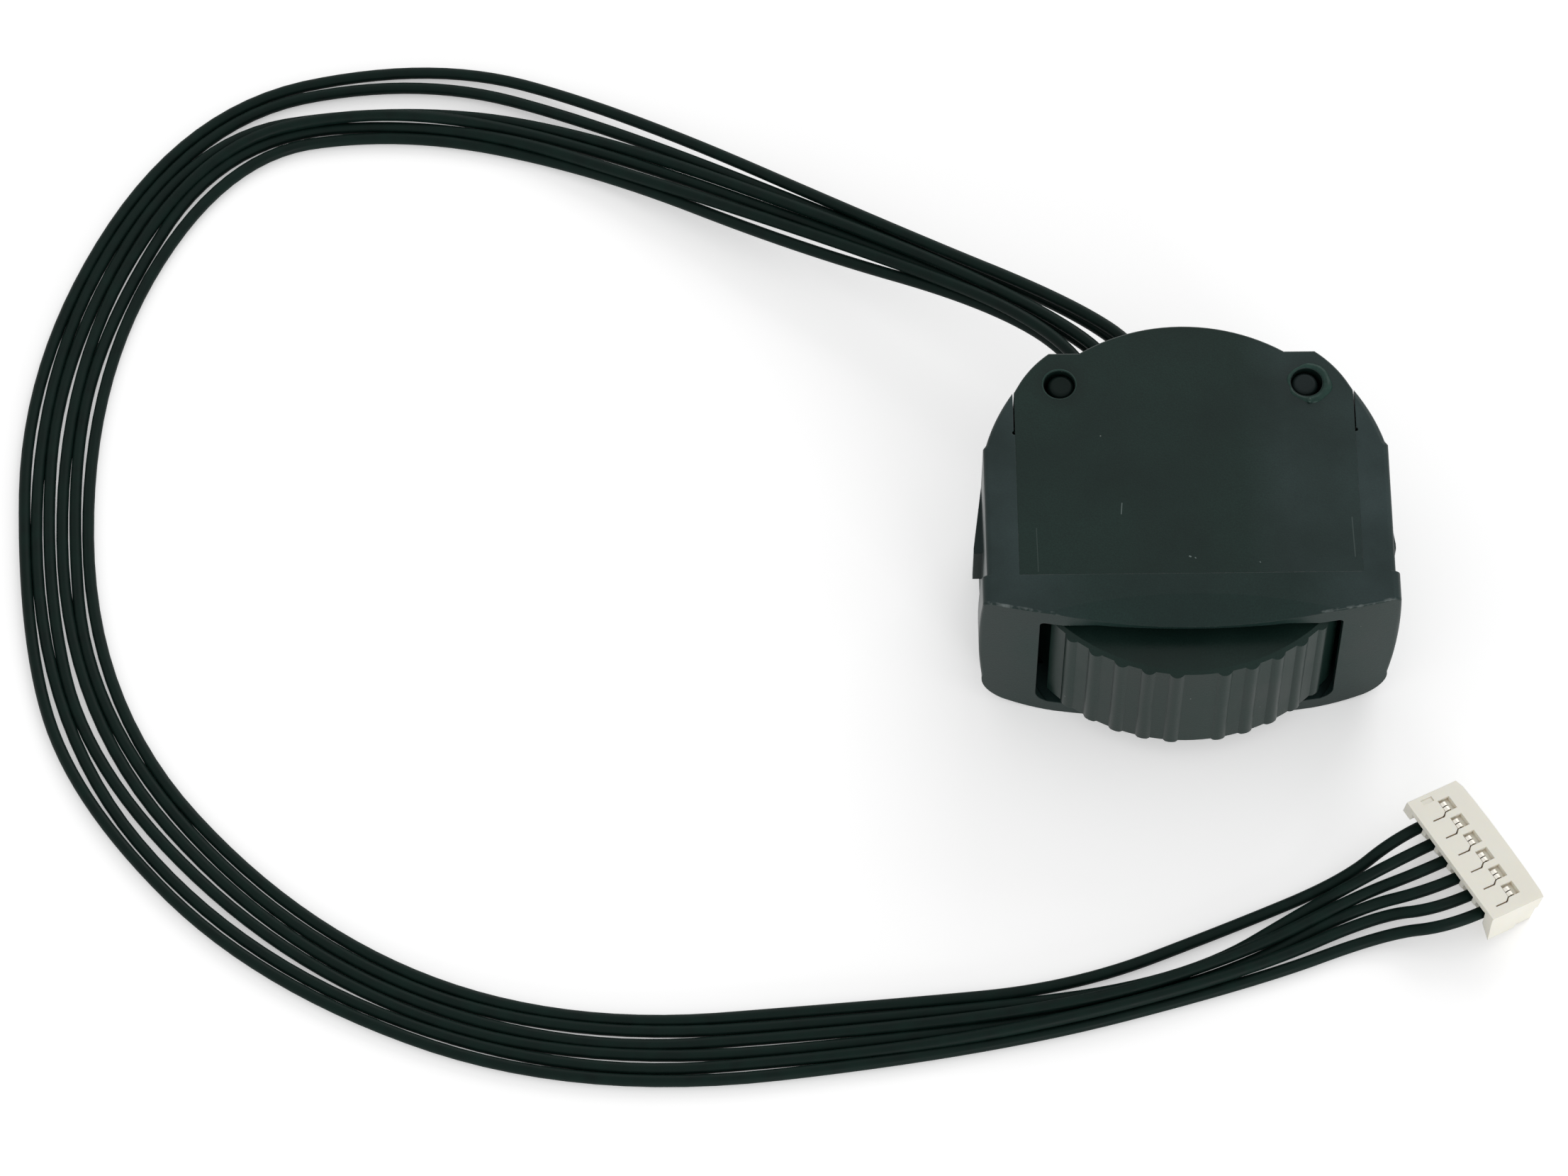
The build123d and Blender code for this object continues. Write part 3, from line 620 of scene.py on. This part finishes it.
def with_modifier(body, kind, **settings):
    """Change the object's mesh by one modifier, and take the modifier away."""
    modifier = body.modifiers.new("step", kind)
    for key, value in settings.items():
        setattr(modifier, key, value)
    bpy.context.view_layer.update()
    evaluated = body.evaluated_get(bpy.context.evaluated_depsgraph_get())
    body.data = bpy.data.meshes.new_from_object(evaluated)
    body.modifiers.clear()


def cut_away(body, shapes):
    tool = scratch_object(shapes)
    with_modifier(body, "BOOLEAN", object=tool, operation="DIFFERENCE", solver="EXACT")
    bpy.data.objects.remove(tool)


shell = scratch_object([plug_block(SHELL_PLAN, 0.0, SHELL_TOP)])

# Below the plate the wire side is open between the end walls, and the plate's lip stands free.
cut_away(shell, [plug_block(rectangle(-WALL_FACE, WALL_FACE, BEHIND, 1.3), BELOW, 2.45)])
lip_space = rectangle(-WALL_FACE, WALL_FACE, BEHIND, -0.35)
cut_away(shell, [plug_block(lip_space, 2.0, PLATE_UNDERSIDE)])

# The far end wall is only a short ear high up.  The near one tapers to a foot at its corner, its
# wire side leans out towards the top, and it is stepped in low down by the mating edge.
cut_away(shell, [plug_block(rectangle(-BEYOND, -5.7, BEHIND, 2.4), BELOW, 2.7)])
foot_taper = [(5.0, BELOW), (6.8, BELOW), (6.8, 0.05), (5.8, 1.4), (5.0, 2.2)]
cut_away(shell, [plug_block(foot_taper, BEHIND, 1.1, "out")])
leaning_edge = [(-3.0, BELOW), (0.4, BELOW), (-0.62, 3.7), (-3.0, 3.7)]
cut_away(shell, [plug_block(leaning_edge, 5.6, BEYOND, "row")])
cut_away(shell, [plug_block(rectangle(SHELL_HALF - 0.2, BEYOND, 3.2, BEYOND), BELOW, 2.2)])
with_modifier(
    shell, "BEVEL", width=0.22, segments=3, limit_method="ANGLE", angle_limit=math.radians(35)
)

# Each position has a mouth for the wire and a chamber for the contact, and over them a stepped
# window and a latch slit through the plate.
for mouth in at_positions(rectangle(-0.78, 0.78, BEHIND, 1.35), 1.9, PLATE_UNDERSIDE):
    cut_away(shell, [mouth])
cut_away(shell, at_positions(rectangle(-0.65, 0.65, 1.0, 7.0), 1.35, 2.65))
cut_away(shell, at_positions(rectangle(-0.8, 0.55, 2.15, 3.45), PLATE_UNDERSIDE, ABOVE))
cut_away(shell, at_positions(rectangle(-0.6, 0.45, 2.15, 3.1), 2.5, ABOVE))
cut_away(shell, at_positions(LATCH_SLIT, 3.0, ABOVE))

# A shallow mark is sunk in the top by the far end.
end_mark = rectangle(-SHELL_HALF + 0.4, -SHELL_HALF + 0.9, 0.7, 1.9)
cut_away(shell, [plug_block(end_mark, SHELL_TOP - 0.1, ABOVE)])

# Slivers a few micrometres wide, left where cuts meet, are closed up.
closed = bmesh.new()
closed.from_mesh(shell.data)
bmesh.ops.remove_doubles(closed, verts=closed.verts, dist=0.005)
bmesh.ops.dissolve_degenerate(closed, edges=closed.edges, dist=0.002)
closed.to_mesh(shell.data)
closed.free()


def in_place(body, name, material):
    """Move a part from the connector's own millimetres to its place in the frame."""
    body.name = body.data.name = name
    for vert in body.data.vertices:
        u, v, w = vert.co
        vert.co = PLUG_ORIGIN + (PLUG_ROW * u + PLUG_OUT * v + PLUG_UP * w) * MM
    body.data.materials.clear()
    body.data.materials.append(material)
    return body


def natural_nylon():
    """Unfilled nylon: ivory white and waxy, with painted yellow-brown shade in its corners, slits
    and windows.
    """
    made = new_material("connector_nylon_natural")
    place = add(made, "TexCoord")["Object"]
    cloud = add(made, "TexNoise", {"Vector": place, "Scale": 1 / (3 * MM), "Detail": 3.0})["Fac"]
    fine = add(made, "TexNoise", {"Vector": place, "Scale": 1 / (0.15 * MM), "Detail": 2.0})["Fac"]
    rounded = add(made, "Bevel", {"Radius": 0.06 * MM}, samples=6)["Normal"]
    tones = {"Fac": cloud, "Color1": colour("#ece8da"), "Color2": colour("#f4f2e7")}
    base = add(made, "MixRGB", tones)["Color"]
    # Painted shade: the colour turns yellow-brown where little of the sky is open.
    open_sky = add(made, "AmbientOcclusion", {"Distance": 0.5 * MM}, samples=8)["AO"]
    painted_corner_shade = add(
        made, "MapRange", {"Value": open_sky, "From Min": 0.6, "From Max": 0.15, "To Max": 0.7}
    )["Result"]
    corner_shade_colour = colour("#c4ab86")
    base = add(made, "MixRGB", {"Fac": painted_corner_shade, "Color1": base, "Color2": corner_shade_colour})["Color"]
    gloss = add(
        made,
        "MapRange",
        {"Value": cloud, "From Min": 0.3, "From Max": 0.7, "To Min": 0.36, "To Max": 0.48},
    )["Result"]
    relief = add(
        made, "Bump", {"Height": fine, "Strength": 0.15, "Distance": 0.01 * MM, "Normal": rounded}
    )["Normal"]
    shader = add(
        made,
        "BsdfPrincipled",
        {
            "Base Color": base,
            "Roughness": gloss,
            "Normal": relief,
            "Subsurface Weight": 0.25,
            "Subsurface Radius": (1.0, 0.8, 0.5),
            "Subsurface Scale": 0.5 * MM,
        },
    )["BSDF"]
    return finish_material(made, shader)


shell = in_place(shell, "connector_shell", natural_nylon())
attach(shell, "housing")
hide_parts("connector_housing")

# Tin plate on the contacts is bright and slightly warm.  Each contact's lance is bent up into
# its window as two sprung prongs, whose side view is an arch with an inner face pinched in.
contact_tin = plain_metal(
    "contact_tin_plated", "#f0ede4", "#d8d3c8", roughness=0.3, grain=0.2 * MM
)
dress(contact_tin, "crimp_contacts")

ARCH_MIDDLE = 2.62
ARCH = [
    (2.18, 2.6),
    (2.22, 3.4),
    (2.35, 3.75),
    (ARCH_MIDDLE, 3.88),
    (2.88, 3.82),
    (3.02, 3.55),
    (3.06, 2.6),
]
ARCH_PINCH = 0.36
LANCE_THICKNESS = 0.12
PRONG_HALF_WIDTH = 0.2
PRONG_MIDDLES = (-0.34, 0.16)  # along the row, from the middle of the position
inner_face = [(v + (ARCH_MIDDLE - v) * ARCH_PINCH, w - LANCE_THICKNESS) for v, w in reversed(ARCH)]
prongs = []
for x in POSITIONS:
    for middle in PRONG_MIDDLES:
        low, high = x + middle - PRONG_HALF_WIDTH, x + middle + PRONG_HALF_WIDTH
        prongs.append(plug_block(ARCH + inner_face, low, high, "row"))
lances = in_place(scratch_object(prongs), "contact_lances", contact_tin)
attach(lances, "housing")

# ------------------------------------------------------------------ lead
# Six single wires, stranded copper in thin black vinyl, lie loose in one open loop.  The potting
# holds one end of each, and the other is crimped in the connector.

WIRE_DIAMETER = 1.12 * MM
WIRE_ROUTES = {
    "wire_1": [(-0.0061, 0.013, 0.009), (-0.0082, 0.0193, 0.009), (-0.0169, 0.0264, 0.0081),
               (-0.0347, 0.0346, 0.0046), (-0.0541, 0.0461, 0.0006), (-0.0726, 0.0506, 0.0006),
               (-0.0897, 0.0479, 0.0006), (-0.102, 0.0232, 0.0006), (-0.1004, -0.0109, 0.0006),
               (-0.0811, -0.034, 0.0006), (-0.0574, -0.0444, 0.0006), (-0.0274, -0.0422, 0.0006),
               (-0.011, -0.0407, 0.0006), (0.0037, -0.0348, 0.0006), (0.0138, -0.0304, 0.0007),
               (0.01847, -0.02765, 0.00385), (0.02144, -0.02586, 0.003)],
    "wire_2": [(-0.0061, 0.013, 0.0101), (-0.0078, 0.0181, 0.0101), (-0.0139, 0.0242, 0.01),
               (-0.0249, 0.0311, 0.0073), (-0.0473, 0.0429, 0.0027), (-0.0674, 0.0515, 0.0006),
               (-0.0894, 0.0503, 0.0006), (-0.1005, 0.0297, 0.0006), (-0.1032, 0.0126, 0.0006),
               (-0.1006, -0.0122, 0.0006), (-0.0821, -0.0348, 0.0006), (-0.0577, -0.0455, 0.0006),
               (-0.0238, -0.0432, 0.0006), (-0.0011, -0.0404, 0.0006), (0.0123, -0.032, 0.0006),
               (0.0191, -0.02961, 0.00396), (0.02248, -0.02757, 0.003)],
    "wire_3": [(-0.0036, 0.0139, 0.009), (-0.0051, 0.0186, 0.009), (-0.0126, 0.0249, 0.0087),
               (-0.0274, 0.0336, 0.0064), (-0.0565, 0.0494, 0.0006), (-0.075, 0.0527, 0.0018),
               (-0.0922, 0.0488, 0.0009), (-0.1045, 0.0233, 0.0006), (-0.1027, -0.0115, 0.0006),
               (-0.0831, -0.0356, 0.0006), (-0.058, -0.0466, 0.0006), (-0.0313, -0.0449, 0.0006),
               (-0.0098, -0.0428, 0.0018), (0.0047, -0.0378, 0.0015), (0.0151, -0.032, 0.001),
               (0.02057, -0.03106, 0.00384), (0.02351, -0.02929, 0.003)],
    "wire_4": [(-0.0036, 0.0139, 0.0101), (-0.0051, 0.0185, 0.0101), (-0.0123, 0.0247, 0.0099),
               (-0.0275, 0.0345, 0.0073), (-0.0564, 0.0507, 0.0007), (-0.074, 0.0531, 0.0006),
               (-0.0927, 0.05, 0.0006), (-0.1047, 0.0259, 0.0006), (-0.1052, 0.0021, 0.0006),
               (-0.1004, -0.0179, 0.0006), (-0.081, -0.0383, 0.0006), (-0.0561, -0.0481, 0.0006),
               (-0.0196, -0.045, 0.0006), (0.0018, -0.0403, 0.0006), (0.0147, -0.0331, 0.0006),
               (0.02134, -0.03293, 0.00391), (0.02454, -0.031, 0.003)],
    "wire_5": [(-0.0006, 0.0139, 0.009), (-0.0022, 0.0188, 0.009), (-0.0098, 0.0255, 0.0089),
               (-0.0262, 0.0344, 0.0066), (-0.0528, 0.0505, 0.0011), (-0.071, 0.0567, 0.0006),
               (-0.0924, 0.0522, 0.0006), (-0.107, 0.0248, 0.0006), (-0.105, -0.0129, 0.0006),
               (-0.0866, -0.0368, 0.0006), (-0.0577, -0.0491, 0.0006), (-0.0293, -0.0471, 0.0007),
               (-0.0112, -0.0442, 0.0017), (0.0055, -0.0393, 0.0014), (0.0167, -0.0338, 0.0006),
               (0.02199, -0.03487, 0.00402), (0.02558, -0.03271, 0.003)],
    "wire_6": [(-0.0006, 0.0139, 0.0101), (-0.0024, 0.0195, 0.0101), (-0.0094, 0.0252, 0.01),
               (-0.0245, 0.0338, 0.008), (-0.0519, 0.0524, 0.0011), (-0.0699, 0.0585, 0.0006),
               (-0.0932, 0.0532, 0.0006), (-0.1077, 0.0255, 0.0006), (-0.1069, -0.0036, 0.0006),
               (-0.1016, -0.0207, 0.0006), (-0.0844, -0.0394, 0.0006), (-0.0557, -0.0509, 0.0006),
               (-0.019, -0.0468, 0.0006), (0.0053, -0.0403, 0.0006), (0.0174, -0.0356, 0.0006),
               (0.02299, -0.03661, 0.00403), (0.02661, -0.03442, 0.003)],
}


def wire_vinyl():
    """Soft black vinyl: satin, with faint lengthwise unevenness from the extruder."""
    made = new_material("wire_vinyl_extruded")
    place = add(made, "TexCoord")["Object"]
    lumps = add(made, "TexNoise", {"Vector": place, "Scale": 1 / (1.6 * MM), "Detail": 2.0})["Fac"]
    fine = add(made, "TexNoise", {"Vector": place, "Scale": 1 / (0.2 * MM), "Detail": 2.0})["Fac"]
    tones = {"Fac": lumps, "Color1": colour("#081311"), "Color2": colour("#10241f")}
    base = add(made, "MixRGB", tones)["Color"]
    gloss = add(
        made,
        "MapRange",
        {"Value": lumps, "From Min": 0.3, "From Max": 0.7, "To Min": 0.42, "To Max": 0.55},
    )["Result"]
    relief = add(made, "Bump", {"Height": fine, "Strength": 0.25, "Distance": 0.01 * MM})["Normal"]
    shader = add(
        made,
        "BsdfPrincipled",
        {"Base Color": base, "Roughness": gloss, "Normal": relief, "Specular IOR Level": 0.09},
    )["BSDF"]
    return finish_material(made, shader)


def lead_wire(name, route, material):
    """Round wire along a smooth spline that the route's points control."""
    curve = bpy.data.curves.new(name, "CURVE")
    curve.dimensions = "3D"
    curve.bevel_depth = WIRE_DIAMETER / 2
    curve.bevel_resolution = 5
    curve.resolution_u = 12
    curve.use_fill_caps = True
    spline = curve.splines.new("NURBS")
    spline.points.add(len(route) - 1)
    for point, place in zip(spline.points, route):
        point.co = (*place, 1.0)
    spline.order_u = 3
    spline.use_endpoint_u = True
    curve.materials.append(material)
    piece = bpy.data.objects.new(name, curve)
    bpy.context.collection.objects.link(piece)
    return piece


vinyl = wire_vinyl()
for name, route in WIRE_ROUTES.items():
    piece = lead_wire(name + "_lead", route, vinyl)
    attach(piece, "housing")
    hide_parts(name)

# ------------------------------------------------------------------ resin round the wires
# Before it sets, the potting epoxy creeps a little way up each wire where it leaves the pour.
# It hardens there as a small collar with a hollow flank.

# Half section of a collar in millimetres: out from the wire's middle, and along it.
COLLAR = [
    (0.98, -0.06),
    (0.98, 0.0),
    (0.76, 0.05),
    (0.66, 0.16),
    (0.6, 0.34),
    (0.54, 0.36),
    (0.5, -0.06),
]
COLLAR_SIDES = 24
potting = bpy.data.objects["potting_seal"]
collars = bmesh.new()
for route in WIRE_ROUTES.values():
    root, leaving = Vector(route[0]), Vector(route[1])
    axis = (leaving - root).normalized()
    foot = potting.ray_cast(leaving, -axis)[1]
    side = axis.cross(Vector((0.0, 0.0, 1.0))).normalized()
    up = side.cross(axis)
    rings = []
    for i in range(COLLAR_SIDES):
        angle = 2 * math.pi * i / COLLAR_SIDES
        out = side * math.cos(angle) + up * math.sin(angle)
        swell = 1.0 + 0.12 * noise.noise(out * 1.5 + root / MM)
        rings.append(
            [collars.verts.new(foot + (out * r * swell + axis * h) * MM) for r, h in COLLAR]
        )
    skin_rings(collars, rings)
bmesh.ops.recalc_face_normals(collars, faces=collars.faces)
menisci = mesh_piece("potting_menisci", collars, potting_epoxy)
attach(menisci, "housing")

# ------------------------------------------------------------------ studio
# The control lies on a white sheet under an even white sky.  One large soft lamp behind it and a
# smaller low one in front model the shape.

FLOOR_SIZE = 6.0
FLOOR_DROP = 0.02 * MM  # keeps the floor just clear of what lies on it
FLOOR_LIFT = 0.37
SKY = 0.62


def floor_paper():
    """Matt white paper, lifted to plain white for the eye but still shaded by the object."""
    made = new_material("floor_white_paper")
    seen_by = add(made, "LightPath")
    straight = {0: seen_by["Is Camera Ray"], 1: seen_by["Is Glossy Ray"]}
    lift = add(made, "Math", straight, operation="MAXIMUM")["Value"]
    paper = add(made, "BsdfDiffuse", {"Color": colour("#f2f2f2")})["BSDF"]
    glow_strength = add(made, "Math", {0: lift, 1: FLOOR_LIFT}, operation="MULTIPLY")["Value"]
    glow = add(made, "Emission", {"Color": colour("#ffffff"), "Strength": glow_strength})
    shader = add(made, "AddShader", {0: paper, 1: glow["Emission"]})["Shader"]
    return finish_material(made, shader)


floor_mesh = bpy.data.meshes.new("floor")
half = FLOOR_SIZE / 2
floor_corners = [(-half, -half, 0), (half, -half, 0), (half, half, 0), (-half, half, 0)]
floor_mesh.from_pydata(floor_corners, [], [(0, 1, 2, 3)])
floor_mesh.materials.append(floor_paper())
floor = bpy.data.objects.new("floor", floor_mesh)
bpy.context.collection.objects.link(floor)
floor.location.z = -FLOOR_DROP

# The sky lights the object at SKY, but is plain white where it is seen or mirrored.
world = bpy.data.worlds.new("sky")
world.use_nodes = True
world.node_tree.nodes.clear()
seen_by = add(world, "LightPath")
straight = {0: seen_by["Is Camera Ray"], 1: seen_by["Is Glossy Ray"]}
direct = add(world, "Math", straight, operation="MAXIMUM")["Value"]
through = {0: direct, 1: seen_by["Is Transmission Ray"]}
direct = add(world, "Math", through, operation="MAXIMUM")["Value"]
strength = add(world, "Math", {0: direct, 1: 1 - SKY, 2: SKY}, operation="MULTIPLY_ADD")["Value"]
sky = add(world, "Background", {"Color": colour("#ffffff"), "Strength": strength})["Background"]
add(world, "OutputWorld", {"Surface": sky})
bpy.context.scene.world = world


def soft_box(name, place, size, watts):
    """Square lamp that points at the origin."""
    lamp_data = bpy.data.lights.new(name, "AREA")
    lamp_data.shape = "SQUARE"
    lamp_data.size = size
    lamp_data.energy = watts
    lamp = bpy.data.objects.new(name, lamp_data)
    bpy.context.collection.objects.link(lamp)
    lamp.location = place
    lamp.rotation_euler = (-lamp.location).to_track_quat("-Z", "Y").to_euler()


soft_box("soft_box_behind", (0.30, 0.80, 0.50), size=0.6, watts=2.6)
soft_box("soft_box_low_front", (0.35, -0.82, 0.16), size=0.3, watts=2.6)

# The camera looks down at 62 degrees with a long lens, and the lead fills the frame's left.
CAMERA_AIM = Vector((-36.5 * MM, 0.7 * MM, 0.0))
CAMERA_DISTANCE = 640.1 * MM
CAMERA_ELEVATION = 62.0
CAMERA_AZIMUTH = 0.7
camera_data = bpy.data.cameras.new("camera")
camera_data.sensor_width = 36.0
camera_data.lens = 158.3
camera_data.clip_start = 0.01
camera = bpy.data.objects.new("camera", camera_data)
bpy.context.collection.objects.link(camera)
tilt = math.radians(90 - CAMERA_ELEVATION)
turn = math.radians(-CAMERA_AZIMUTH)
camera.rotation_euler = (tilt, 0.0, turn)
reach = CAMERA_DISTANCE * math.sin(tilt)
height = CAMERA_DISTANCE * math.cos(tilt)
stand = Vector((reach * math.sin(turn), -reach * math.cos(turn), height))
camera.location = CAMERA_AIM + stand
bpy.context.scene.camera = camera
bpy.context.scene.view_settings.view_transform = "Standard"
